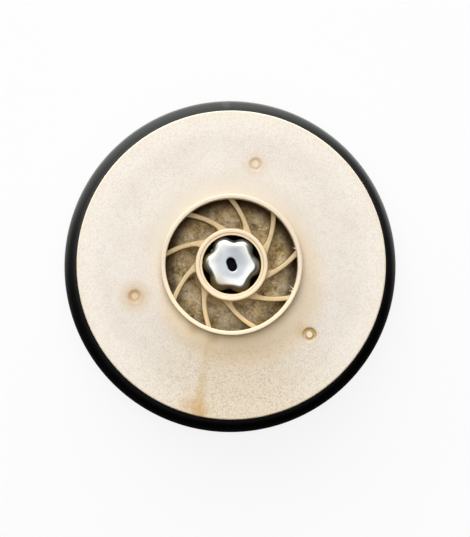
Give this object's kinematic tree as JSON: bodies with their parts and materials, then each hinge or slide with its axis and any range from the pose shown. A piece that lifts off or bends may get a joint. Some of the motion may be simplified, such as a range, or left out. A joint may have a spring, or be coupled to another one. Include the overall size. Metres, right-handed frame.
{
  "type": "pump rotor stage",
  "caption": "Closed pump rotor with curved vanes on a six-lobed shaft, turning over its round-rimmed guide disc with return vanes.",
  "frame": {"origin": "on the shaft's axis at the flat back of the guide's cover, on which the stage rests", "axes": "+Z along the shaft's axis, towards the inlet eye; X and Y across the disc, +Y towards the top of the picture"},
  "size_m": [0.091, 0.091, 0.0278],
  "materials": {
    "beige_plastic": "moulded glass-filled plastic, fine speckled grain, faint brown stain",
    "black_plastic": "moulded black plastic, satin",
    "shaft_steel": "bright machined stainless steel",
    "washer_steel": "ground stainless steel",
    "rubber": "plain black water-lubricated bearing rubber"
  },
  "bodies": {
    "guide": {"guide_disc": "black_plastic", "guide_rim": "black_plastic", "back_cover": "black_plastic", "return_vane_1": "black_plastic", "return_vane_2": "black_plastic", "return_vane_3": "black_plastic", "return_vane_4": "black_plastic", "return_vane_5": "black_plastic", "return_vane_6": "black_plastic", "return_vane_7": "black_plastic", "bearing_boss": "black_plastic", "bearing_bush": "rubber", "thrust_washer": "washer_steel"},
    "rotor": {"front_shroud": "beige_plastic", "back_shroud": "beige_plastic", "hub": "beige_plastic", "vane_1": "beige_plastic", "vane_2": "beige_plastic", "vane_3": "beige_plastic", "vane_4": "beige_plastic", "vane_5": "beige_plastic", "vane_6": "beige_plastic", "vane_7": "beige_plastic", "vane_8": "beige_plastic", "vane_9": "beige_plastic", "shaft": "shaft_steel", "shaft_sleeve": "shaft_steel"}
  },
  "joints": [
    {"name": "rotor_spin", "type": "hinge", "parent": "guide", "child": "rotor", "pos_m": [0, 0, 0.014], "axis": [0, 0, 1], "continuous": true}
  ]
}
